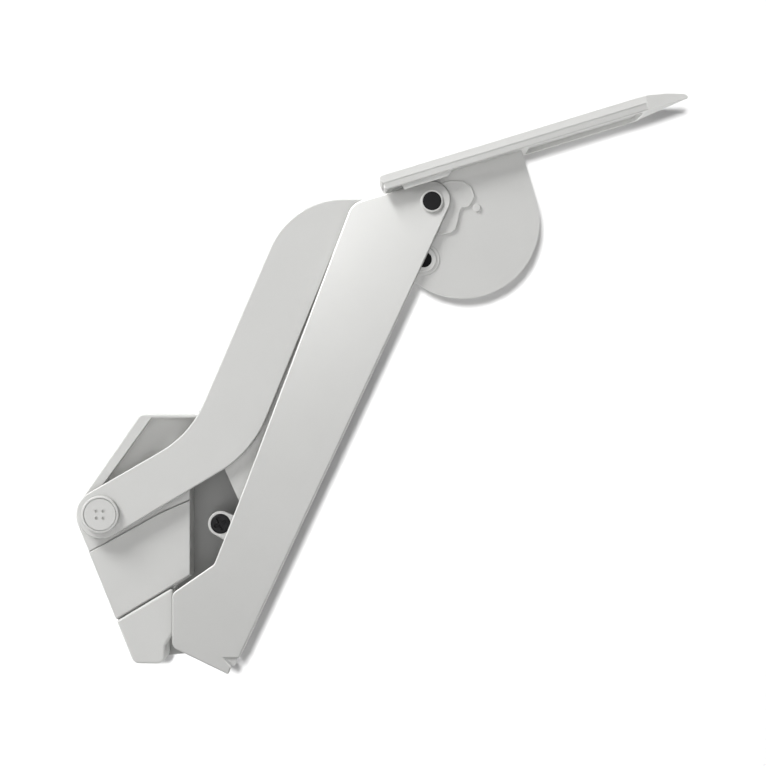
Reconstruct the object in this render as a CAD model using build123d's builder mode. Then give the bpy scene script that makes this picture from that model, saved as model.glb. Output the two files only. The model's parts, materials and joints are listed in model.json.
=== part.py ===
from build123d import *
from math import cos, radians, sin
import os

# Lid stay for a wall cabinet's flap, in its open position, in millimetres.
# X points out of the cabinet, Z is up, and the base's back face lies in the plane Y = 0.
# The origin is on that back face, on the axis of the main arm's pivot.
# Heights are measured from the cabinet's side panel towards the viewer, along -Y.

# Pivots, as (x, z)
CRANK_PIVOT = (-78.2, 16.4)
BRACKET_PIVOT = (88.5, 173.5)
SUPPORT_SCREW = (-18.5, 11.0)

# Directions in the side view, in degrees above +X
ARM_ANGLE = 65.0
PLATE_ANGLE = 16.9

# Heights of each layer above the side panel: (back, front)
BASE_PLATE = (0.0, 2.0)
HOUSING = (2.0, 17.0)
SUPPORT = (14.5, 17.0)
INNER_PLATE = (17.6, 19.4)
CRANK = (19.9, 22.9)
CHEEK = (23.7, 25.5)
REINFORCEMENT = (25.5, 26.0)
ARM_FRONT = (26.8, 28.0)
RAIL = (3.0, 32.0)

# Fits
SHAFT_CLEARANCE = 0.05
GAP = 0.35

# Main pivot and cam
MAIN_SHAFT_RADIUS = 4.0
CAM_RADIUS = 10.5
CAM_OFFSET = 4.8
CAM_ANGLE = 167.0
CAM_LAYER = (6.5, 12.0)

# Guide arm
CRANK_STUD_RADIUS = 5.0
CRANK_EYE_RADIUS = 12.3
CRANK_PIN_DISTANCE = 17.0
CRANK_PIN_ANGLE = 220.0
CRANK_PIN_RADIUS = 2.5
SLOT_CENTRE = (71.18, 163.76)
SLOT_ANGLE = 153.5
SLOT_TRAVEL = 8.8
SLOT_RADIUS = 3.9

# Bracket and front plate, along the plate (u) and above the bracket pivot (v)
CHEEK_CENTRE = (11.9, -14.0)
CHEEK_RADIUS = 38.6
UNDERSIDE = 11.6
RAIL_THICKNESS = 3.6
PLATE_TOP = 18.9
RAIL_START = -20.9
RAIL_END = 116.0
PLATE_START = -21.9
PLATE_TIP = 138.0
BUFFER_CENTRE = (-12.3, -26.6)

# Main arm, along the arm from the main pivot (a) and to the left of it (m)
WEB_OUTSIDE = -16.1
SHEET = 1.4
WEB_TOP = 136.0
SPRING_LINES = (5.4, -8.2)
SPRING_START = 28.0
SPRING_END = 112.0
SPRING_HEIGHT = 9.8
SPRING_RADIUS = 4.4
SPRING_WIRE = 2.0
SPRING_TURNS = 13


def side_plane(height):
    """Side view plane at a height above the side panel: x is X and y is Z."""
    return Plane(origin=(0, -height, 0), x_dir=(1, 0, 0), z_dir=(0, -1, 0))


def turned_plane(height, origin, angle):
    """Side view plane with its origin at (x, z) and its x axis turned up by an angle."""
    direction = (cos(radians(angle)), 0, sin(radians(angle)))
    return Plane(origin=(origin[0], -height, origin[1]), x_dir=direction, z_dir=(0, -1, 0))


def arm_plane(height):
    """Plane whose x runs up the main arm from its pivot and y to the arm's left."""
    return turned_plane(height, (0, 0), ARM_ANGLE)


def bracket_plane(height):
    """Plane whose x runs along the front plate from the bracket pivot and y above it."""
    return turned_plane(height, BRACKET_PIVOT, PLATE_ANGLE)


def section_plane(plane, x, y):
    """Plane across a side view plane at (x, y), facing along its x: x is the height, y stays."""
    return Plane(plane.location * Location((x, y, 0), (90, 90, 0)))


def thickness(layer):
    """Depth of a layer given as (back, front)."""
    return layer[1] - layer[0]


def outline(corners, mode=Mode.ADD):
    """Closed face from corners given as (x, y, fillet radius)."""
    points = [(x, y) for x, y, radius in corners]
    with BuildLine() as line:
        FilletPolyline(*points, radius=[radius for x, y, radius in corners], close=True)
    make_face(line.edges(), mode=mode)


os.makedirs("parts", exist_ok=True)


# ---------------------------------------------------------------- base

# Flat steel plate against the side panel, with two screw holes
PANEL_HOLES = [(-42, 34), (-35.5, -42)]
PANEL_HOLE_RADIUS = 2.6
PANEL_HEAD_RADIUS = 5.5
with BuildPart() as base_plate:
    with BuildSketch(side_plane(BASE_PLATE[0])):
        outline([
            (-59.4, 66.5, 3), (-4, 66.5, 6), (12, 42, 8), (12, -10, 8), (-8, -42, 6),
            (-32, -57, 3), (-62.5, -60, 3), (-93.7, 17, 13.7),
        ])
    extrude(amount=thickness(BASE_PLATE))
    with Locations(*[side_plane(BASE_PLATE[1]).location * Pos(x, z, 0) for x, z in PANEL_HOLES]):
        Hole(PANEL_HOLE_RADIUS)
    with Locations(side_plane(BASE_PLATE[1]).location * Pos(*SUPPORT_SCREW, 0)):
        Hole(2.0)
    fillet(base_plate.faces().sort_by(Axis.Y)[0].outer_wire().edges(), 0.4)
base_plate.part.label = "base_plate"
export_step(base_plate.part, "parts/base_plate.step")

# Moulded shell: a sloped wall round a shallow recess above, pockets for the two covers below
RIM_CORNERS = [
    (-59.4, 66.5, 3), (-16, 66.5, 2), (-16, 46, 2), (-34, 36, 1), (-34, -16.0, 1),
    (-42.3, -21.5, 2), (-42.3, -44, 3), (-46.5, -50.5, 3), (-46.5, -60, 4), (-62.5, -60, 4),
    (-93.7, 17, 13.7),
]
COVER_BAND = [(-95, -8.2, 0), (-49.3, 17.0, 30), (-20, 29.6, 0), (-20, -7.1, 0), (-95, -51.9, 0)]
TONGUE_BAND = [(-95, -51.9, 0), (-20, -7.1, 0), (-20, -80, 0), (-95, -80, 0)]
BAY_FLOOR = 4.5
RECESS_FLOOR = 10.5
COVER_FLOOR = 15.2
TONGUE_FLOOR = 12.5
WALL_SLOPE = (2.6, 5.2)
with BuildPart() as base_housing:
    with BuildSketch(side_plane(HOUSING[0])):
        outline(RIM_CORNERS)
    extrude(amount=thickness(HOUSING))
    fillet(base_housing.faces().sort_by(Axis.Y)[0].outer_wire().edges(), 0.8)
    # wide slope on the upper left wall
    wall_foot = (-91.6, 20.0)
    wall_angle = 55.3
    with BuildSketch(section_plane(turned_plane(0, wall_foot, wall_angle), -20, 0)):
        with BuildLine():
            Polyline(
                (HOUSING[1] + 1, 0.6), (HOUSING[1] - WALL_SLOPE[0], 0.6), (HOUSING[1], -WALL_SLOPE[1]),
                (HOUSING[1] + 1, -WALL_SLOPE[1]), close=True,
            )
        make_face()
    extrude(amount=100, mode=Mode.SUBTRACT)
    with BuildSketch(side_plane(HOUSING[1])):
        outline([(-53.8, 65.0, 1), (-18, 65.0, 1), (-18, 55, 1), (-74.5, 25.5, 2), (-79.6, 29.3, 1)])
    extrude(amount=RECESS_FLOOR - HOUSING[1], mode=Mode.SUBTRACT)
    # band across the shell for the centre cover, with the damper's bay under it
    with BuildSketch(side_plane(HOUSING[1])):
        outline(COVER_BAND)
    extrude(amount=COVER_FLOOR - HOUSING[1], mode=Mode.SUBTRACT)
    with BuildSketch(side_plane(COVER_FLOOR)):
        outline([(-80, -3.5, 2), (-48.8, 13, 2), (-37, 18, 2), (-37, -15.5, 2), (-68.6, -33.5, 2)])
    extrude(amount=BAY_FLOOR - COVER_FLOOR, mode=Mode.SUBTRACT)
    # lowered tongue under the lower cover, and its bay
    with BuildSketch(side_plane(HOUSING[1])):
        outline(TONGUE_BAND)
    extrude(amount=TONGUE_FLOOR - HOUSING[1], mode=Mode.SUBTRACT)
    with BuildSketch(side_plane(TONGUE_FLOOR)):
        outline([
            (-67.0, -42.4, 1), (-45.3, -29, 1), (-45.3, -43.5, 2.5), (-49.5, -51, 2.5), (-49.5, -57, 2.5),
            (-60.4, -57, 2.5),
        ])
    extrude(amount=BAY_FLOOR - TONGUE_FLOOR, mode=Mode.SUBTRACT)
    with Locations(side_plane(HOUSING[1]).location * Pos(*CRANK_PIVOT, 0)):
        Hole(CRANK_STUD_RADIUS + 2)
    # well down to the upper panel screw, open only once the guide arm has folded away
    with Locations(side_plane(HOUSING[1]).location * Pos(*PANEL_HOLES[0], 0)):
        Hole(PANEL_HEAD_RADIUS)
base_housing.part.label = "base_housing"
export_step(base_housing.part, "parts/base_housing.step")

# Slanted centre cover right across the shell, a groove above and below it
GROOVE = 0.55
with BuildPart() as centre_cover:
    with BuildSketch(side_plane(COVER_FLOOR)):
        outline(COVER_BAND)
        offset(amount=-GROOVE, kind=Kind.INTERSECTION)
        outline(RIM_CORNERS, mode=Mode.INTERSECT)
    extrude(amount=HOUSING[1] + 0.3 - COVER_FLOOR)
    fillet(centre_cover.faces().sort_by(Axis.Y)[0].outer_wire().edges(), 0.45)
centre_cover.part.label = "centre_cover"
export_step(centre_cover.part, "parts/centre_cover.step")

# Lower cover: the cap of the base's tongue, its front edge rolled over
LOWER_COVER_TOP = 17.6
with BuildPart() as lower_cover:
    with BuildSketch(side_plane(TONGUE_FLOOR)):
        outline([
            (-71.27, -38.36, 0.5), (-42.3, -21.05, 1.6), (-42.3, -44, 3), (-46.5, -50.5, 3),
            (-46.5, -60, 4), (-62.5, -60, 4),
        ])
    extrude(amount=LOWER_COVER_TOP - TONGUE_FLOOR)
    fillet(lower_cover.faces().sort_by(Axis.Y)[0].outer_wire().edges(), 1.3)
lower_cover.part.label = "lower_cover"
export_step(lower_cover.part, "parts/lower_cover.step")

# Stud that the guide arm turns on, riveted into the base plate
STUD_TOP = 23.3
with BuildPart() as crank_stud:
    with BuildSketch(side_plane(BASE_PLATE[1])):
        with Locations(CRANK_PIVOT):
            Circle(CRANK_STUD_RADIUS + 1.9)
    extrude(amount=CRANK[0] - 0.5 - BASE_PLATE[1])
    with BuildSketch(side_plane(CRANK[0] - 0.5)):
        with Locations(CRANK_PIVOT):
            Circle(CRANK_STUD_RADIUS)
    extrude(amount=STUD_TOP - CRANK[0] + 0.5)
crank_stud.part.label = "crank_stud"
export_step(crank_stud.part, "parts/crank_stud.step")

# Thrust washer between the stud's shoulder and the guide arm
with BuildPart() as crank_washer:
    with BuildSketch(side_plane(CRANK[0] - 0.5)):
        with Locations(CRANK_PIVOT):
            Circle(10)
            Circle(CRANK_STUD_RADIUS, mode=Mode.SUBTRACT)
    extrude(amount=0.45)
crank_washer.part.label = "crank_washer"
export_step(crank_washer.part, "parts/crank_washer.step")

# Round cap on the stud with four driver dimples
CAP_RADIUS = 9.5
with BuildPart() as crank_cap:
    with BuildSketch(side_plane(STUD_TOP)):
        with Locations(CRANK_PIVOT):
            Circle(CAP_RADIUS)
    extrude(amount=1.6)
    fillet(crank_cap.faces().sort_by(Axis.Y)[0].outer_wire().edges(), 0.7)
    with BuildSketch(side_plane(STUD_TOP + 1.6)):
        with Locations(CRANK_PIVOT):
            Circle(8.3)
            Circle(7.9, mode=Mode.SUBTRACT)
        with Locations(CRANK_PIVOT):
            with GridLocations(3.5, 3.5, 2, 2):
                Circle(0.8)
    extrude(amount=-0.9, mode=Mode.SUBTRACT)
crank_cap.part.label = "crank_cap"
export_step(crank_cap.part, "parts/crank_cap.step")

# Main shaft, stepped, with a groove for its clip
CLIP = (19.7, 20.7)
with BuildPart() as main_shaft:
    with BuildSketch(side_plane(BASE_PLATE[1])):
        Circle(MAIN_SHAFT_RADIUS)
    extrude(amount=CLIP[1] + 0.8 - BASE_PLATE[1])
    chamfer(main_shaft.faces().sort_by(Axis.Y)[0].edges(), 0.5)
    with BuildSketch(side_plane(CLIP[0])):
        Circle(MAIN_SHAFT_RADIUS + 1)
        Circle(MAIN_SHAFT_RADIUS - 1, mode=Mode.SUBTRACT)
    extrude(amount=thickness(CLIP), mode=Mode.SUBTRACT)
main_shaft.part.label = "main_shaft"
export_step(main_shaft.part, "parts/main_shaft.step")

# Open retaining clip in the shaft's groove
with BuildPart() as shaft_clip:
    with BuildSketch(side_plane(CLIP[0])):
        Circle(6.5)
        Circle(MAIN_SHAFT_RADIUS - 1, mode=Mode.SUBTRACT)
        with Locations((0, -5)):
            Rectangle(4.4, 8, mode=Mode.SUBTRACT)
    extrude(amount=thickness(CLIP))
shaft_clip.part.label = "shaft_clip"
export_step(shaft_clip.part, "parts/shaft_clip.step")

# Fixed cam: an eccentric disc on a collar round the main shaft
cam_centre = (CAM_OFFSET * cos(radians(CAM_ANGLE)), CAM_OFFSET * sin(radians(CAM_ANGLE)))
with BuildPart() as hub_cam:
    with BuildSketch(side_plane(BASE_PLATE[1])):
        Circle(MAIN_SHAFT_RADIUS + 2)
    extrude(amount=SUPPORT[0] - BASE_PLATE[1])
    with BuildSketch(side_plane(CAM_LAYER[0])):
        with Locations(cam_centre):
            Circle(CAM_RADIUS)
    extrude(amount=thickness(CAM_LAYER))
    with BuildSketch(side_plane(BASE_PLATE[1])):
        Circle(MAIN_SHAFT_RADIUS)
    extrude(amount=SUPPORT[0] - BASE_PLATE[1], mode=Mode.SUBTRACT)
hub_cam.part.label = "hub_cam"
export_step(hub_cam.part, "parts/hub_cam.step")

# Teardrop lug that holds the shaft's front end and stands on the base by its boss
LUG_RADIUS = 6.4
HEAD_RADIUS = 5.0
with BuildPart() as shaft_support:
    with BuildSketch(side_plane(SUPPORT[0])):
        with Locations(SUPPORT_SCREW):
            Circle(LUG_RADIUS)
        with Locations((1.0, 1.3)):
            Circle(7.4)
        make_hull()
        Circle(MAIN_SHAFT_RADIUS, mode=Mode.SUBTRACT)
    extrude(amount=thickness(SUPPORT))
    fillet(shaft_support.faces().sort_by(Axis.Y)[0].outer_wire().edges(), 0.6)
    with BuildSketch(side_plane(BASE_PLATE[1])):
        with Locations(SUPPORT_SCREW):
            Circle(4.6)
    extrude(amount=SUPPORT[0] - BASE_PLATE[1])
    with Locations(side_plane(SUPPORT[1]).location * Pos(*SUPPORT_SCREW, 0)):
        CounterBoreHole(2.5, HEAD_RADIUS + 0.1, 1.2)
shaft_support.part.label = "shaft_support"
export_step(shaft_support.part, "parts/shaft_support.step")

# Cross-recessed screw of the lug
with BuildPart() as support_screw:
    with BuildSketch(side_plane(SUPPORT[1] - 1.2)):
        with Locations(SUPPORT_SCREW):
            Circle(HEAD_RADIUS)
    extrude(amount=1.5)
    fillet(support_screw.faces().sort_by(Axis.Y)[0].edges(), 0.7)
    with BuildSketch(side_plane(SUPPORT[1] + 0.3)):
        with Locations(Location((*SUPPORT_SCREW, 0), 25)):
            Rectangle(7, 1.8)
            Rectangle(1.8, 7)
    extrude(amount=-1, taper=12, mode=Mode.SUBTRACT)
    with BuildSketch(side_plane(0.3)):
        with Locations(SUPPORT_SCREW):
            Circle(2.0)
    extrude(amount=SUPPORT[1] - 1.2 - 0.3)
support_screw.part.label = "support_screw"
export_step(support_screw.part, "parts/support_screw.step")


# ---------------------------------------------------------------- main arm

# Folded sheet: wide front wall, and a deep web down its right edge
ARM_CORNERS = [
    (-41.5, -49.8, 4), (-41.5, -22.8, 4), (-20.5, -8.3, 4), (-8.5, 22, 8), (48.5, 172.3, 10),
    (106, 189.3, 9.6), (-7.9, -55, 0), (-15.5, -55.2, 0), (-11.9, -59.6, 0), (-13.4, -63.4, 0.8),
]
SPACER_PLACES = [(46, 0), (104, 0)]
RIVET_RADIUS = 3.5
BEND_RADIUS = 2.3
FOOT_TAB = [(-16.2, -53.6, 0.3), (-9.8, -54.2, 0.8), (-7.0, -50.0, 0.5), (-10.4, -59.4, 0.5)]
with BuildPart() as arm_channel:
    with BuildSketch(side_plane(ARM_FRONT[0])):
        outline(ARM_CORNERS)
    extrude(amount=thickness(ARM_FRONT))
    with BuildSketch(arm_plane(RAIL[0])):
        with Locations(((WEB_TOP - 52.5) / 2, WEB_OUTSIDE + SHEET / 2)):
            Rectangle(WEB_TOP + 52.5, SHEET)
    extrude(amount=ARM_FRONT[1] - RAIL[0])
    # the web's upper end runs out in a slope that the bracket passes
    with BuildSketch(Plane(arm_plane(0).location * Location((WEB_TOP, WEB_OUTSIDE, 0), (90, 0, 0)))):
        with BuildLine():
            Polyline(
                (-26, RAIL[0] - 1), (0, ARM_FRONT[0] - 2), (1, ARM_FRONT[0] - 2), (1, RAIL[0] - 1),
                close=True,
            )
        make_face()
    extrude(amount=-3 * SHEET, both=True, mode=Mode.SUBTRACT)
    fillet(arm_channel.faces().sort_by(Axis.Y)[0].outer_wire().edges(), 0.8)
    # bend between the front wall and the web
    with BuildSketch(section_plane(arm_plane(ARM_FRONT[1] - BEND_RADIUS), -52, WEB_OUTSIDE)):
        with Locations((BEND_RADIUS / 2, BEND_RADIUS / 2)):
            Rectangle(BEND_RADIUS, BEND_RADIUS)
        with Locations((0, BEND_RADIUS)):
            Circle(BEND_RADIUS, mode=Mode.SUBTRACT)
    extrude(amount=240, mode=Mode.SUBTRACT)
    # folded tab in the notch of the foot
    with BuildSketch(side_plane(ARM_FRONT[0] - 2.5)):
        outline(FOOT_TAB)
    extrude(amount=thickness(ARM_FRONT) + 2.1)
    with Locations(side_plane(ARM_FRONT[1]).location * Pos(*BRACKET_PIVOT, 0)):
        Hole(RIVET_RADIUS)
arm_channel.part.label = "arm_channel"
export_step(arm_channel.part, "parts/arm_channel.step")

# Inner wall of the main arm: it turns on the main shaft
with BuildPart() as inner_plate:
    with BuildSketch(arm_plane(INNER_PLATE[0])):
        outline([
            (12, WEB_OUTSIDE + SHEET, 1), (160, WEB_OUTSIDE + SHEET, 6), (164, -2, 8), (120, 33, 20),
            (31, 34, 3), (16.3, 17.0, 2), (8, 12, 4),
        ])
        Circle(12.5)
        with Locations((8, WEB_OUTSIDE + SHEET + 6)):
            Rectangle(16, 12)
        Circle(MAIN_SHAFT_RADIUS + SHAFT_CLEARANCE, mode=Mode.SUBTRACT)
    extrude(amount=thickness(INNER_PLATE))
inner_plate.part.label = "inner_plate"
export_step(inner_plate.part, "parts/inner_plate.step")

# Two shouldered spacers between the arm's walls
with BuildPart() as arm_spacers:
    with BuildSketch(arm_plane(INNER_PLATE[1])):
        with Locations(*SPACER_PLACES):
            Circle(4)
    extrude(amount=ARM_FRONT[0] - INNER_PLATE[1])
arm_spacers.part.label = "arm_spacers"
export_step(arm_spacers.part, "parts/arm_spacers.step")

# Seat that the springs push against, welded under the inner plate
SEAT = (SPRING_END, SPRING_END + 6)
CARRIAGE_BACK = 4.8
with BuildPart() as spring_seat:
    with BuildSketch(arm_plane(CARRIAGE_BACK)):
        with Locations(((SEAT[0] + SEAT[1]) / 2, -1.4)):
            Rectangle(SEAT[1] - SEAT[0], 23.8)
    extrude(amount=INNER_PLATE[0] - CARRIAGE_BACK)
    fillet(spring_seat.edges().filter_by(Axis.Y), 1.2)
spring_seat.part.label = "spring_seat"
export_step(spring_seat.part, "parts/spring_seat.step")

# Guide rods inside the springs, fixed in the seat
ROD_RADIUS = 2.2
with BuildPart() as spring_guides:
    with BuildSketch(Plane(arm_plane(SPRING_HEIGHT).location * Location((SPRING_END, 0, 0), (90, 90, 0)))):
        with Locations(*[(line, 0) for line in SPRING_LINES]):
            Circle(ROD_RADIUS)
    extrude(amount=-(SPRING_END - SPRING_START - 3.5))
spring_guides.part.label = "spring_guides"
export_step(spring_guides.part, "parts/spring_guides.step")

# Two compression springs side by side along the arm
arm_direction = (cos(radians(ARM_ANGLE)), 0, sin(radians(ARM_ANGLE)))
spring_length = SPRING_END - SPRING_START - SPRING_WIRE
with BuildPart() as springs:
    for spring_line in SPRING_LINES:
        foot = arm_plane(SPRING_HEIGHT).from_local_coords((SPRING_START + SPRING_WIRE / 2, spring_line, 0))
        with BuildLine() as coil:
            Helix(spring_length / SPRING_TURNS, spring_length, SPRING_RADIUS, foot, arm_direction)
        with BuildSketch(Plane(origin=coil.line @ 0, z_dir=coil.line % 0)):
            RegularPolygon(SPRING_WIRE / 2, 8)
        sweep(path=coil.line, is_frenet=True)
springs.part.label = "springs"
export_step(springs.part, "parts/springs.step")

# Force screw through the seat, its hexagon socket towards the arm's upper end
SCREW_HEIGHT = 9.8
with BuildPart() as force_screw:
    with BuildSketch(Plane(arm_plane(SCREW_HEIGHT).location * Location((SEAT[1], -1.4, 0), (90, 90, 0)))):
        Circle(3.0)
    extrude(amount=12)
    with BuildSketch(force_screw.faces().sort_by(Axis(origin=(0, 0, 0), direction=arm_direction))[-1]):
        Circle(4.5)
    extrude(amount=4)
    with BuildSketch(force_screw.faces().sort_by(Axis(origin=(0, 0, 0), direction=arm_direction))[-1]):
        RegularPolygon(2.5, 6)
    extrude(amount=-2.5, mode=Mode.SUBTRACT)
force_screw.part.label = "force_screw"
export_step(force_screw.part, "parts/force_screw.step")

# Hollow rivet of the bracket pivot: fixed in the arm's front wall, dished in front
with BuildPart() as bracket_rivet:
    with BuildSketch(side_plane(CHEEK[0] - 0.65)):
        with Locations(BRACKET_PIVOT):
            Circle(6)
    extrude(amount=0.6)
    with BuildSketch(side_plane(CHEEK[0] - 0.65)):
        with Locations(BRACKET_PIVOT):
            Circle(RIVET_RADIUS)
    extrude(amount=ARM_FRONT[1] - CHEEK[0] + 0.65)
    with BuildSketch(side_plane(ARM_FRONT[1])):
        with Locations(BRACKET_PIVOT):
            Circle(5.6)
    extrude(amount=0.7)
    chamfer(bracket_rivet.faces().sort_by(Axis.Y)[0].outer_wire().edges(), 0.3)
    with BuildSketch(side_plane(ARM_FRONT[1] + 0.7)):
        with Locations(BRACKET_PIVOT):
            Circle(4.7)
    extrude(amount=-0.6, mode=Mode.SUBTRACT)
bracket_rivet.part.label = "bracket_rivet"
export_step(bracket_rivet.part, "parts/bracket_rivet.step")

# Black cap in the rivet's dish
with BuildPart() as pivot_cap:
    with BuildSketch(side_plane(ARM_FRONT[1] + 0.1)):
        with Locations(BRACKET_PIVOT):
            Circle(4.65)
    extrude(amount=0.8)
    fillet(pivot_cap.faces().sort_by(Axis.Y)[0].edges(), 0.3)
pivot_cap.part.label = "pivot_cap"
export_step(pivot_cap.part, "parts/pivot_cap.step")


# ---------------------------------------------------------------- spring slider

# Slider with a rounded nose that the springs press against the cam
NOSE_RADIUS = 5.0
SLIDER_BLOCK = (18.0, SPRING_START)
nose_reach = CAM_RADIUS + NOSE_RADIUS + GAP
cam_turn = radians(CAM_ANGLE - ARM_ANGLE)
nose_place = CAM_OFFSET * cos(cam_turn) + (nose_reach**2 - (CAM_OFFSET * sin(cam_turn)) ** 2) ** 0.5
with BuildPart() as spring_slider:
    with BuildSketch(arm_plane(CARRIAGE_BACK)):
        with Locations(((SLIDER_BLOCK[0] + SLIDER_BLOCK[1]) / 2, -1.4)):
            Rectangle(SLIDER_BLOCK[1] - SLIDER_BLOCK[0], 23.6)
    extrude(amount=10)
    fillet(spring_slider.edges().filter_by(Axis.Y), 1.5)
    with BuildSketch(arm_plane(CAM_LAYER[0])):
        with Locations((nose_place, 0)):
            Circle(NOSE_RADIUS)
        with Locations(((nose_place + 20) / 2, 0)):
            Rectangle(20 - nose_place, 2 * NOSE_RADIUS)
    extrude(amount=thickness(CAM_LAYER))
spring_slider.part.label = "spring_slider"
export_step(spring_slider.part, "parts/spring_slider.step")


# ---------------------------------------------------------------- guide arm

# Cranked flat arm from the stud to the bracket's pin, with a short slot at its upper end
with BuildPart() as crank_arm:
    with BuildSketch(side_plane(CRANK[0])):
        outline([
            (-71.9, 5.8, 0), (-1.8, 47.6, 58), (41, 152.5, 14), (83.5, 152.5, 8.5), (83.5, 170, 8),
            (64, 175, 12), (17.7, 175, 40), (-33.2, 56.6, 52), (-84.5, 27.0, 0),
        ])
        with Locations(CRANK_PIVOT):
            Circle(CRANK_EYE_RADIUS)
    extrude(amount=thickness(CRANK))
    fillet(crank_arm.faces().sort_by(Axis.Y)[0].outer_wire().edges(), 0.7)
    with BuildSketch(side_plane(CRANK[0])):
        with Locations(CRANK_PIVOT):
            Circle(CRANK_STUD_RADIUS + SHAFT_CLEARANCE)
        with Locations(Location((*SLOT_CENTRE, 0), SLOT_ANGLE)):
            SlotCenterToCenter(SLOT_TRAVEL, 2 * SLOT_RADIUS)
    extrude(amount=thickness(CRANK), mode=Mode.SUBTRACT)
crank_arm.part.label = "crank_arm"
export_step(crank_arm.part, "parts/crank_arm.step")


# ---------------------------------------------------------------- front bracket

pin_turn = radians(CRANK_PIN_ANGLE - PLATE_ANGLE)
PIN_PLACE = (CRANK_PIN_DISTANCE * cos(pin_turn), CRANK_PIN_DISTANCE * sin(pin_turn))
CHEEK_END = CHEEK_CENTRE[0] + CHEEK_RADIUS
FLANGE = (UNDERSIDE - 1.4, UNDERSIDE)
FLANGE_START = -8.0
FLAP_HOLES = [66.0, 98.0]
FLAP_HOLE_RADIUS = 2.6
FLANGE_SCREWS = [14.0, 38.0]
FLANGE_SCREW_RADIUS = 2.4
RAIL_TOP = UNDERSIDE + RAIL_THICKNESS
rail_middle = (RAIL[0] + RAIL[1]) / 2


def rail_plane(level):
    """Plane at a level above the pivot: x along the plate, y across it, z away from the pivot."""
    return Plane(bracket_plane(rail_middle).location * Location((0, level, 0), (-90, 0, 0)))


# Half-round cheek with its top edge folded back under the rail
with BuildPart() as bracket_cheek:
    with BuildSketch(bracket_plane(CHEEK[0])):
        with Locations(CHEEK_CENTRE):
            Circle(CHEEK_RADIUS)
        with Locations((CHEEK_END / 2 + 5.95, (UNDERSIDE + CHEEK_CENTRE[1]) / 2)):
            Rectangle(CHEEK_RADIUS, UNDERSIDE - CHEEK_CENTRE[1])
        with Locations((0, UNDERSIDE + 20)):
            Rectangle(120, 40, mode=Mode.SUBTRACT)
    extrude(amount=thickness(CHEEK))
    with BuildSketch(bracket_plane(RAIL[0] + 2)):
        with Locations(((FLANGE_START + CHEEK_END) / 2, (FLANGE[0] + FLANGE[1]) / 2)):
            Rectangle(CHEEK_END - FLANGE_START, thickness(FLANGE))
    extrude(amount=CHEEK[0] - RAIL[0] - 2)
    with BuildSketch(rail_plane(FLANGE[0])):
        with Locations(*[(u, 0) for u in FLANGE_SCREWS]):
            Circle(FLANGE_SCREW_RADIUS)
    extrude(amount=thickness(FLANGE), mode=Mode.SUBTRACT)
    with BuildSketch(bracket_plane(CHEEK[0])):
        Circle(RIVET_RADIUS + SHAFT_CLEARANCE)
        with Locations(PIN_PLACE):
            Circle(CRANK_PIN_RADIUS)
        with Locations(BUFFER_CENTRE):
            Circle(5.2)
    extrude(amount=thickness(CHEEK), mode=Mode.SUBTRACT)
bracket_cheek.part.label = "bracket_cheek"
export_step(bracket_cheek.part, "parts/bracket_cheek.step")

# Stepped reinforcing plate on the cheek's face round the pivot, with a raised rim
STEP_CORNERS = [
    (11.7, 7.4, 0.8), (17.9, 5.5, 2), (21.2, 1.2, 2), (21.4, -3.8, 2), (17.2, -8.0, 1.5),
    (13.4, -7.2, 1.2), (11.4, -10, 2), (9.4, -13.8, 2), (7.4, -16.8, 1.5), (4.6, -17.9, 1),
    (-1.1, -17.4, 1), (-9, -12, 3), (-9, 7.4, 3),
]
STEP_RIM = 0.9
with BuildPart() as reinforcing_plate:
    with BuildSketch(bracket_plane(REINFORCEMENT[0])):
        outline(STEP_CORNERS)
        Circle(RIVET_RADIUS + SHAFT_CLEARANCE, mode=Mode.SUBTRACT)
    extrude(amount=thickness(REINFORCEMENT) + 0.4)
    fillet(reinforcing_plate.faces().sort_by(Axis.Y)[0].outer_wire().edges(), 0.3)
    with BuildSketch(bracket_plane(REINFORCEMENT[1])):
        outline(STEP_CORNERS)
        offset(amount=-STEP_RIM, kind=Kind.ARC)
    extrude(amount=1, mode=Mode.SUBTRACT)
reinforcing_plate.part.label = "reinforcing_plate"
export_step(reinforcing_plate.part, "parts/reinforcing_plate.step")

# Small rivet beside the reinforcing plate's step
with BuildPart() as cheek_rivet:
    with BuildSketch(bracket_plane(REINFORCEMENT[0])):
        with Locations((20.6, -9.6)):
            Circle(2.0)
    extrude(amount=0.8)
    fillet(cheek_rivet.faces().sort_by(Axis.Y)[0].edges(), 0.4)
cheek_rivet.part.label = "cheek_rivet"
export_step(cheek_rivet.part, "parts/cheek_rivet.step")

# Thin washer between the reinforcing plate and the arm's front wall
with BuildPart() as pivot_washer:
    with BuildSketch(bracket_plane(REINFORCEMENT[1])):
        Circle(6.2)
        Circle(RIVET_RADIUS + SHAFT_CLEARANCE, mode=Mode.SUBTRACT)
    extrude(amount=ARM_FRONT[0] - REINFORCEMENT[1] - 0.05)
pivot_washer.part.label = "pivot_washer"
export_step(pivot_washer.part, "parts/pivot_washer.step")

# Pin that runs in the guide arm's slot
RETAINER = (18.4, 19.6)
with BuildPart() as crank_pin:
    with BuildSketch(bracket_plane(RETAINER[0])):
        with Locations(PIN_PLACE):
            Circle(CRANK_PIN_RADIUS)
    extrude(amount=CHEEK[1] - RETAINER[0])
crank_pin.part.label = "crank_pin"
export_step(crank_pin.part, "parts/crank_pin.step")

# Retaining disc pressed on the pin's back end
with BuildPart() as pin_retainer:
    with BuildSketch(bracket_plane(RETAINER[0])):
        with Locations(PIN_PLACE):
            Circle(6.2)
            Circle(CRANK_PIN_RADIUS, mode=Mode.SUBTRACT)
    extrude(amount=thickness(RETAINER))
pin_retainer.part.label = "pin_retainer"
export_step(pin_retainer.part, "parts/pin_retainer.step")

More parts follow.
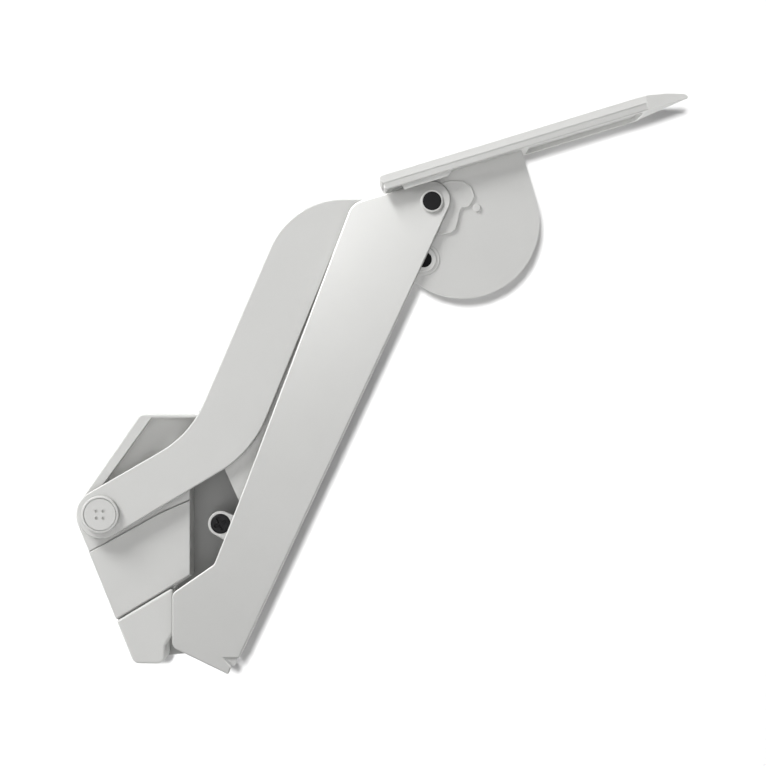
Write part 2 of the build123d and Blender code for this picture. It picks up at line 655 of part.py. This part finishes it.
# Flanged ring in the cheek and the black buffer inside it
with BuildPart() as buffer_ring:
    with BuildSketch(bracket_plane(CHEEK[0])):
        with Locations(BUFFER_CENTRE):
            Circle(5.2)
    extrude(amount=thickness(CHEEK))
    with BuildSketch(bracket_plane(CHEEK[1])):
        with Locations(BUFFER_CENTRE):
            Circle(8)
    extrude(amount=0.4)
    chamfer(buffer_ring.faces().sort_by(Axis.Y)[0].outer_wire().edges(), 0.25)
    with BuildSketch(bracket_plane(CHEEK[1] + 0.4)):
        with Locations(BUFFER_CENTRE):
            Circle(6.4)
    extrude(amount=0.5)
    chamfer(buffer_ring.faces().sort_by(Axis.Y)[0].outer_wire().edges(), 0.3)
    with BuildSketch(bracket_plane(CHEEK[0])):
        with Locations(BUFFER_CENTRE):
            Circle(4)
    extrude(amount=4, mode=Mode.SUBTRACT)
buffer_ring.part.label = "buffer_ring"
export_step(buffer_ring.part, "parts/buffer_ring.step")

with BuildPart() as buffer:
    with BuildSketch(bracket_plane(CHEEK[0])):
        with Locations(BUFFER_CENTRE):
            Circle(4)
    extrude(amount=1.1)
buffer.part.label = "buffer"
export_step(buffer.part, "parts/buffer.step")

# Shallow steel rail under the front plate, open below, with the flap's screw holes
RAIL_FACE = RAIL[1] - 0.2
LIP = (9.3, 11.0, -12.3)
with BuildPart() as front_rail:
    with BuildSketch(bracket_plane(RAIL[0])):
        outline([
            (RAIL_START, UNDERSIDE, 1.4), (RAIL_END, UNDERSIDE, 0), (RAIL_END, RAIL_TOP, 0),
            (RAIL_START, RAIL_TOP, 0),
        ])
    extrude(amount=RAIL_FACE - RAIL[0])
    fillet(front_rail.faces().sort_by(Axis.Y)[0].edges().sort_by(SortBy.LENGTH)[-2:].sort_by(Axis.Z)[:1], 0.7)
    with BuildSketch(rail_plane(UNDERSIDE)):
        with Locations(((CHEEK_END + RAIL_END) / 2 + 1, 0)):
            RectangleRounded(RAIL_END - CHEEK_END - 6, RAIL_FACE - RAIL[0] - 5, 3)
    extrude(amount=2.2, mode=Mode.SUBTRACT)
    with BuildSketch(rail_plane(UNDERSIDE)):
        with Locations(*[(u, 0) for u in FLAP_HOLES]):
            Circle(FLAP_HOLE_RADIUS)
        with Locations(*[(u, 0) for u in FLANGE_SCREWS]):
            Circle(FLANGE_SCREW_RADIUS)
    extrude(amount=RAIL_THICKNESS, mode=Mode.SUBTRACT)
    # short lip that hangs from the rail's front in front of the arm
    with BuildSketch(bracket_plane(ARM_FRONT[1] + 1.2)):
        outline([
            (LIP[2], UNDERSIDE, 0), (LIP[2] + 0.6, LIP[0], 0.5), (LIP[1], LIP[0], 0.8),
            (LIP[1] + 3, UNDERSIDE, 0),
        ])
    extrude(amount=1.6)
front_rail.part.label = "front_rail"
export_step(front_rail.part, "parts/front_rail.step")

# Front plate that lies on the flap: a white slope along its near edge, a thin nose at its outer end
PLATE_SLOPE = [(RAIL_FACE - 0.5, RAIL_TOP), (RAIL[1], RAIL_TOP + 0.6), (RAIL[1] - 1.7, PLATE_TOP - 0.6)]
NOSE_CORNERS = [
    (RAIL_END, UNDERSIDE, 0), (PLATE_TIP, 12.2, 0.3), (136.4, 14.4, 2), (127.5, 17.0, 6), (118.0, 18.6, 8),
    (112.0, PLATE_TOP, 0), (PLATE_START, PLATE_TOP, 1.0), (PLATE_START + 0.6, RAIL_TOP, 0),
    (RAIL_END, RAIL_TOP, 0),
]
with BuildPart() as front_plate:
    with BuildSketch(bracket_plane(RAIL[0])):
        outline(NOSE_CORNERS)
    extrude(amount=thickness(RAIL))
    # slope and lip of the near edge
    with BuildSketch(section_plane(bracket_plane(0), -30, 0)):
        with BuildLine():
            Polyline(
                (RAIL[1] + 1, RAIL_TOP - 0.01), PLATE_SLOPE[0], PLATE_SLOPE[1], PLATE_SLOPE[2],
                (RAIL[1] - 1.7, PLATE_TOP + 1), (RAIL[1] + 1, PLATE_TOP + 1), close=True,
            )
        make_face()
    extrude(amount=30 + RAIL_END, mode=Mode.SUBTRACT)
    with BuildSketch(rail_plane(RAIL_TOP)):
        with Locations(*[(u, 0) for u in FLAP_HOLES]):
            Circle(FLAP_HOLE_RADIUS)
    extrude(amount=PLATE_TOP - RAIL_TOP, mode=Mode.SUBTRACT)
front_plate.part.label = "front_plate"
export_step(front_plate.part, "parts/front_plate.step")

# Two screws through the cheek's flange into the rail
with BuildPart() as flange_screws:
    with BuildSketch(rail_plane(FLANGE[0] - 1.6)):
        with Locations(*[(u, 0) for u in FLANGE_SCREWS]):
            Circle(4.2)
    extrude(amount=1.6)
    with BuildSketch(rail_plane(FLANGE[0])):
        with Locations(*[(u, 0) for u in FLANGE_SCREWS]):
            Circle(FLANGE_SCREW_RADIUS)
    extrude(amount=RAIL_TOP - FLANGE[0])
    with BuildSketch(rail_plane(FLANGE[0] - 1.6)):
        with Locations(*[(u, 0) for u in FLANGE_SCREWS]):
            RegularPolygon(2.2, 6)
    extrude(amount=1.0, mode=Mode.SUBTRACT)
flange_screws.part.label = "flange_screws"
export_step(flange_screws.part, "parts/flange_screws.step")
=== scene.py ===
import json
import math
import bmesh
import bpy
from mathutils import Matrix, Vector

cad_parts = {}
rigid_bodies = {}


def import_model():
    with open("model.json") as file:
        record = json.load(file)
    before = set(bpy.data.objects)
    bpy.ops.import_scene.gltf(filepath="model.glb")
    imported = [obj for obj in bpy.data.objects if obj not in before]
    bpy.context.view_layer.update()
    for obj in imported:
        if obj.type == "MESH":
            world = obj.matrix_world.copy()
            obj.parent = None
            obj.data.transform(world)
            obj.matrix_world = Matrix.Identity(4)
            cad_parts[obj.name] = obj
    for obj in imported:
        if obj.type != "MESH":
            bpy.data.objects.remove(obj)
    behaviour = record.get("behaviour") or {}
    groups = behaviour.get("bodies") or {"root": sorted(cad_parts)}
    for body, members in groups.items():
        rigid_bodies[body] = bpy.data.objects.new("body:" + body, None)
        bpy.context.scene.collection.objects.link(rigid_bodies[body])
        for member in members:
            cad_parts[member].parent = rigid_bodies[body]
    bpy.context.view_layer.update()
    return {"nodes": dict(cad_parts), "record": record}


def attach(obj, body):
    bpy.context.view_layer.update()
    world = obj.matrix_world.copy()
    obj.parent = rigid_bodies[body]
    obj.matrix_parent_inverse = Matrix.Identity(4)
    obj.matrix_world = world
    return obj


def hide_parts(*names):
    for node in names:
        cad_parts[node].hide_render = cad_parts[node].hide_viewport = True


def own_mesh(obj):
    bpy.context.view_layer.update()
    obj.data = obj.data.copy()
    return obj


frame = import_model()


camera = {
    "place": (0.064, -0.728, 0.0825),
    "turn": (90, 0, 0),
    "lens": 65.8,
}


def placeCamera():
    data = bpy.data.cameras.new("sideView")
    data.lens = camera["lens"]
    data.sensor_width = 36
    data.clip_start = 0.01
    data.clip_end = 20
    view = bpy.data.objects.new("sideView", data)
    view.location = camera["place"]
    view.rotation_euler = [math.radians(angle) for angle in camera["turn"]]
    bpy.context.scene.collection.objects.link(view)
    bpy.context.scene.camera = view
    bpy.context.scene.view_settings.view_transform = "Standard"
    print("camera placed")


placeCamera()


class Wire:  # one output socket that takes part in sums
    def __init__(self, graph, socket):
        self.graph = graph
        self.socket = socket

    def joined(self, operation, first, second):
        made = self.graph.node("Math", {"operation": operation}, {0: first, 1: second})
        return Wire(self.graph, made.outputs[0])

    def __add__(self, other):
        return self.joined("ADD", self, other)

    def __radd__(self, other):
        return self.joined("ADD", other, self)

    def __sub__(self, other):
        return self.joined("SUBTRACT", self, other)

    def __rsub__(self, other):
        return self.joined("SUBTRACT", other, self)

    def __mul__(self, other):
        return self.joined("MULTIPLY", self, other)

    def __rmul__(self, other):
        return self.joined("MULTIPLY", other, self)


class Graph:  # the nodes of a material or of the world
    def __init__(self, owner):
        owner.use_nodes = True
        self.tree = owner.node_tree
        self.tree.nodes.clear()

    def node(self, kind, settings=None, inputs=None):
        made = self.tree.nodes.new("ShaderNode" + kind)
        for name, value in (settings or {}).items():
            setattr(made, name, value)
        for name, value in (inputs or {}).items():
            if isinstance(value, Wire):
                self.tree.links.new(value.socket, made.inputs[name])
            else:
                made.inputs[name].default_value = value
        return made

    def wire(self, kind, output, settings=None, inputs=None):
        return Wire(self, self.node(kind, settings, inputs).outputs[output])


def grey(level):
    return (level, level, level, 1)


backdrop = {
    "behind": 0.0045,  # from the base's back face
    "below": -0.32,
    "half": 3.0,
    "white": 0.74,
    "lift": 0.02,
}


def paintBackdrop(material):  # white from the front, clear from behind and to shadow rays
    graph = Graph(material)
    rays = graph.node("LightPath")
    fromBehind = graph.wire("NewGeometry", "Backfacing")
    shadowRay = Wire(graph, rays.outputs["Is Shadow Ray"])
    seen = Wire(graph, rays.outputs["Is Camera Ray"]) + Wire(graph, rays.outputs["Is Glossy Ray"])
    paper = graph.wire("BsdfDiffuse", 0, {}, {"Color": grey(backdrop["white"])})
    glow = graph.wire("Emission", 0, {}, {"Color": grey(1), "Strength": seen * backdrop["lift"]})
    both = graph.wire("AddShader", 0, {}, {0: paper, 1: glow})
    clear = graph.wire("BsdfTransparent", 0)
    through = fromBehind.joined("MAXIMUM", fromBehind, shadowRay)
    mixed = graph.wire("MixShader", 0, {}, {0: through, 1: both, 2: clear})
    graph.node("OutputMaterial", {}, {"Surface": mixed})


def buildBackdrop():
    half = backdrop["half"]
    wallY = backdrop["behind"]
    floorZ = backdrop["below"]
    corners = [
        (-half, wallY, half), (half, wallY, half), (half, wallY, floorZ), (-half, wallY, floorZ),
        (half, -half, floorZ), (-half, -half, floorZ),
    ]
    mesh = bpy.data.meshes.new("backdrop")
    mesh.from_pydata(corners, [], [(0, 3, 2, 1), (3, 5, 4, 2)])
    wall = bpy.data.objects.new("backdrop", mesh)
    bpy.context.scene.collection.objects.link(wall)
    material = bpy.data.materials.new("backdropWhite")
    paintBackdrop(material)
    mesh.materials.append(material)
    return wall


wallObject = buildBackdrop()
armObject = frame["nodes"]["arm_channel"]


lights = {
    # name: place, aimed at, width, watts, what it lights
    "upperLeft": ((-0.85, -0.50, 1.00), (0.03, -0.02, 0.08), 0.50, 19, "allButArm"),
    "front": ((-0.02, -1.5, 0.35), (0.03, -0.02, 0.08), 1.6, 5.8, "allButArm"),
    "armKey": ((-0.35, -0.30, 1.00), (0.05, -0.028, 0.10), 0.30, 21, "arm"),
    "armGlow": ((-0.03, -0.085, 0.22), (0.05, -0.028, 0.15), 0.05, 0.10, "arm"),
    "plateTop": ((0.10, -0.30, 0.95), (0.14, -0.03, 0.20), 0.30, 4, "plate"),
    "wallSpot": ((-0.15, -1.8, 0.28), (0.05, 0.0, 0.08), 0.22, 38, "wall"),
    "rear": ((0.5, 1.2, 0.8), (0.03, -0.02, 0.08), 0.9, 8, "object"),
}
lightGroups = {name: bpy.data.collections.new("lit_" + name)
               for name in ("wall", "arm", "plate", "object", "allButArm")}


def litBy(groupName, member, state="INCLUDE"):  # EXCLUDE: the group is all but its members
    group = lightGroups[groupName]
    group.objects.link(member)
    group.collection_objects[len(group.objects) - 1].light_linking.link_state = state


litBy("wall", wallObject)
litBy("arm", armObject)
litBy("object", wallObject, "EXCLUDE")
litBy("allButArm", wallObject, "EXCLUDE")
litBy("allButArm", armObject, "EXCLUDE")


def addLight(name, place, aim, width, watts, lit):
    data = bpy.data.lights.new(name, "AREA")
    data.shape = "DISK"
    data.size = width
    data.energy = watts
    lamp = bpy.data.objects.new(name, data)
    lamp.location = place
    lamp.rotation_euler = (Vector(aim) - Vector(place)).to_track_quat("-Z", "Y").to_euler()
    bpy.context.scene.collection.objects.link(lamp)
    lamp.light_linking.receiver_collection = lightGroups[lit]
    lamp.visible_camera = False


for lightName, lightFacts in lights.items():
    addLight(lightName, *lightFacts)


room = {
    "level": 0.07,
    "seenLevel": 1,  # white, to the camera alone
}


def buildRoom():
    world = bpy.data.worlds.new("studio")
    bpy.context.scene.world = world
    graph = Graph(world)
    seen = graph.wire("LightPath", "Is Camera Ray")
    strength = room["level"] + (room["seenLevel"] - room["level"]) * seen
    sky = graph.wire("Background", 0, {}, {"Color": grey(1), "Strength": strength})
    graph.node("OutputWorld", {}, {"Surface": sky})


buildRoom()
print("studio lit by", len(lights), "lamps")


def noise(graph, place, scale, detail):
    return graph.wire("TexNoise", "Fac", {}, {"Vector": place, "Scale": scale, "Detail": detail})


def blended(graph, share, first, second):
    return graph.wire("Mix", 2, {"data_type": "RGBA"}, {0: share, 6: (*first, 1), 7: (*second, 1)})


def scaled(colour, factor):
    return [min(1, part * factor) for part in colour]


paleCoat = {
    "colour": (0.66, 0.66, 0.645),
    "spread": 0.1,  # how far its tone may wander
    "drift": 0.35,
    "driftSize": 22,
    "speck": 0.1,
    "speckSize": 2.7,  # against the peel
    "rough": 0.42,
    "roughDrift": 0.10,
    "roughPeel": 0.06,
    "peelSize": 1500,
    "peelDepth": 0.00004,
    "peelStrength": 0.35,
    "coat": 0.12,
    "coatRough": 0.3,
}


def coatMaterial(name, facts):  # sprayed or moulded skin with a faint peel
    material = bpy.data.materials.new(name)
    graph = Graph(material)
    place = graph.wire("TexCoord", "Object")
    cloud = noise(graph, place, facts["driftSize"], 3)
    speck = noise(graph, place, facts["peelSize"] * facts["speckSize"], 1)
    peel = noise(graph, place, facts["peelSize"], 2)
    tone = 0.5 + (cloud - 0.5) * facts["drift"] + (speck - 0.5) * facts["speck"]
    darker = scaled(facts["colour"], 1 - facts["spread"])
    lighter = scaled(facts["colour"], 1 + facts["spread"])
    bump = graph.wire("Bump", 0, {}, {
        "Strength": facts["peelStrength"], "Distance": facts["peelDepth"], "Height": peel,
    })
    rough = facts["rough"] + (cloud - 0.5) * facts["roughDrift"] + (peel - 0.5) * facts["roughPeel"]
    shader = graph.wire("BsdfPrincipled", 0, {}, {
        "Base Color": blended(graph, tone, darker, lighter), "Roughness": rough, "Normal": bump,
        "Coat Weight": facts["coat"], "Coat Roughness": facts["coatRough"],
    })
    graph.node("OutputMaterial", {}, {"Surface": shader})
    return material


zincPlate = {
    "colour": (0.60, 0.61, 0.63),
    "dark": 0.8,
    "metal": 0.9,
    "rough": 0.32,
    "roughDrift": 0.2,
    "streak": 900,
    "streakStretch": (1, 1, 0.08),
    "streakShare": 0.6,
    "streakDepth": 0.00002,
    "streakStrength": 0.15,
    "cloudSize": 60,
}


def zincMaterial(name, facts):  # plated steel with fine drawn streaks
    material = bpy.data.materials.new(name)
    graph = Graph(material)
    place = graph.wire("TexCoord", "Object")
    stretched = graph.wire("Mapping", 0, {}, {"Vector": place, "Scale": facts["streakStretch"]})
    streak = noise(graph, stretched, facts["streak"], 2)
    cloud = noise(graph, place, facts["cloudSize"], 3)
    share = streak * facts["streakShare"] + cloud * (1 - facts["streakShare"])
    bump = graph.wire("Bump", 0, {}, {
        "Strength": facts["streakStrength"], "Distance": facts["streakDepth"], "Height": streak,
    })
    shader = graph.wire("BsdfPrincipled", 0, {}, {
        "Base Color": blended(graph, share, scaled(facts["colour"], facts["dark"]), facts["colour"]),
        "Metallic": facts["metal"], "Roughness": facts["rough"] + (cloud - 0.5) * facts["roughDrift"],
        "Normal": bump,
    })
    graph.node("OutputMaterial", {}, {"Surface": shader})
    return material


darkPlastic = {
    "colour": (0.007, 0.007, 0.008),
    "dark": 0.6,
    "light": 1.6,
    "gloss": 0.25,
    "rough": 0.5,
    "roughDrift": 0.15,
    "grain": 2600,
    "grainShare": 0.6,
    "grainDepth": 0.00012,
    "grainStrength": 0.5,
    "cloudSize": 140,
}


def grainMaterial(name, facts):  # black skin with a cell grain
    material = bpy.data.materials.new(name)
    graph = Graph(material)
    place = graph.wire("TexCoord", "Object")
    cells = graph.wire("TexVoronoi", "Distance", {}, {"Vector": place, "Scale": facts["grain"]})
    cloud = noise(graph, place, facts["cloudSize"], 2)
    share = cells * facts["grainShare"] + cloud * (1 - facts["grainShare"])
    darker = scaled(facts["colour"], facts["dark"])
    lighter = scaled(facts["colour"], facts["light"])
    bump = graph.wire("Bump", 0, {}, {
        "Strength": facts["grainStrength"], "Distance": facts["grainDepth"], "Height": cells,
    })
    shader = graph.wire("BsdfPrincipled", 0, {}, {
        "Base Color": blended(graph, share, darker, lighter),
        "Roughness": facts["rough"] + (cloud - 0.5) * facts["roughDrift"], "Normal": bump,
        "Specular IOR Level": facts["gloss"],
    })
    graph.node("OutputMaterial", {}, {"Surface": shader})
    return material


palePlastic = {**paleCoat, "peelSize": 3000, "peelDepth": 0.00002, "rough": 0.5, "coat": 0.0}
greyCoat = {**paleCoat, "colour": (0.36, 0.36, 0.355), "rough": 0.5}
bearingPlastic = {**paleCoat, "colour": (0.60, 0.59, 0.55), "rough": 0.38}
blackOxide = {**darkPlastic, "colour": (0.008, 0.008, 0.009), "rough": 0.4, "grain": 5000,
              "grainDepth": 0.00003}
rubber = {**darkPlastic, "rough": 0.75, "grain": 3500}

finishes = {
    "paleCoat": coatMaterial("paleCoat", paleCoat),
    "palePlastic": coatMaterial("palePlastic", palePlastic),
    "greyCoat": coatMaterial("greyCoat", greyCoat),
    "zincPlate": zincMaterial("zincPlate", zincPlate),
    "blackOxide": grainMaterial("blackOxide", blackOxide),
    "darkPlastic": grainMaterial("darkPlastic", darkPlastic),
    "bearingPlastic": coatMaterial("bearingPlastic", bearingPlastic),
    "rubber": grainMaterial("rubber", rubber),
}

finishedNodes = {
    "paleCoat": [
        "arm_channel", "inner_plate", "crank_arm", "bracket_cheek", "reinforcing_plate", "cheek_rivet",
        "front_rail", "bracket_rivet", "shaft_support", "buffer_ring",
    ],
    "palePlastic": ["base_housing", "centre_cover", "lower_cover", "crank_cap", "front_plate"],
    "greyCoat": ["base_plate"],
    "zincPlate": [
        "main_shaft", "shaft_clip", "hub_cam", "springs", "spring_guides", "spring_seat", "force_screw",
        "arm_spacers", "crank_stud", "crank_pin", "flange_screws",
    ],
    "blackOxide": ["support_screw"],
    "darkPlastic": ["pivot_cap"],
    "bearingPlastic": ["crank_washer", "pivot_washer", "pin_retainer", "spring_slider"],
    "rubber": ["buffer"],
}

for finishName, nodeNames in finishedNodes.items():
    for nodeName in nodeNames:
        solid = frame["nodes"][nodeName]
        solid.data.materials.clear()
        solid.data.materials.append(finishes[finishName])
print("finishes given to", sum(len(names) for names in finishedNodes.values()), "solids")


nose = {  # the plate's outer end, drawn in to a thin tip
    "from": 0.112,  # along the plate from the bracket's pivot
    "faceFrom": 0.1165,
    "tip": 0.139,
    "back": 0.003,  # heights in front of the side panel
    "backAtTip": 0.028,
    "face": 0.032,
    "faceAtTip": 0.028,
    "sharpAngle": 25,
    "weld": 1e-6,
}


def noseCut(shell, start, end, above, outwards):
    normal = (end - start).cross(above).normalized()
    if normal.dot(outwards) < 0:
        normal.negate()
    everything = shell.verts[:] + shell.edges[:] + shell.faces[:]
    cut = bmesh.ops.bisect_plane(shell, geom=everything, plane_co=start, plane_no=normal, clear_outer=True)
    rim = [piece for piece in cut["geom_cut"] if isinstance(piece, bmesh.types.BMEdge)]
    bmesh.ops.edgeloop_fill(shell, edges=rim)


def buildFrontPlate(solid):
    record = frame["record"]
    mounts = {mount["name"]: mount for mount in record["mounts"]}
    hinges = {joint["name"]: joint for joint in record["behaviour"]["joints"]}
    above = Vector(mounts["flap_face"]["axis"])
    along = Vector((above.z, 0, -above.x))
    near = Vector((0, -1, 0))
    pivotX, _, pivotZ = hinges["bracket_hinge"]["pos_m"]
    pivot = Vector((pivotX, 0, pivotZ))

    def spot(distance, height):
        return pivot + along * nose[distance] + near * nose[height]

    shell = bmesh.new()
    shell.from_mesh(solid.data)
    bmesh.ops.remove_doubles(shell, verts=shell.verts[:], dist=nose["weld"])
    noseCut(shell, spot("from", "back"), spot("tip", "backAtTip"), above, -near)
    noseCut(shell, spot("faceFrom", "face"), spot("tip", "faceAtTip"), above, near)
    mesh = bpy.data.meshes.new("frontPlate")
    shell.to_mesh(mesh)
    shell.free()
    mesh.materials.append(finishes["palePlastic"])
    mesh.shade_smooth()
    mesh.set_sharp_from_angle(angle=math.radians(nose["sharpAngle"]))
    plate = bpy.data.objects.new("frontPlate", mesh)
    bpy.context.scene.collection.objects.link(plate)
    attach(plate, "front_bracket")
    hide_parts("front_plate")
    litBy("plate", plate)
    print("front plate cut to its nose:", len(mesh.polygons), "faces")


buildFrontPlate(frame["nodes"]["front_plate"])


def buildSprings(solid):  # a copy of the springs, carried by the main arm
    pair = bpy.data.objects.new("springPair", solid.data.copy())
    bpy.context.scene.collection.objects.link(pair)
    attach(pair, "main_arm")
    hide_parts("springs")
    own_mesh(pair)


buildSprings(frame["nodes"]["springs"])
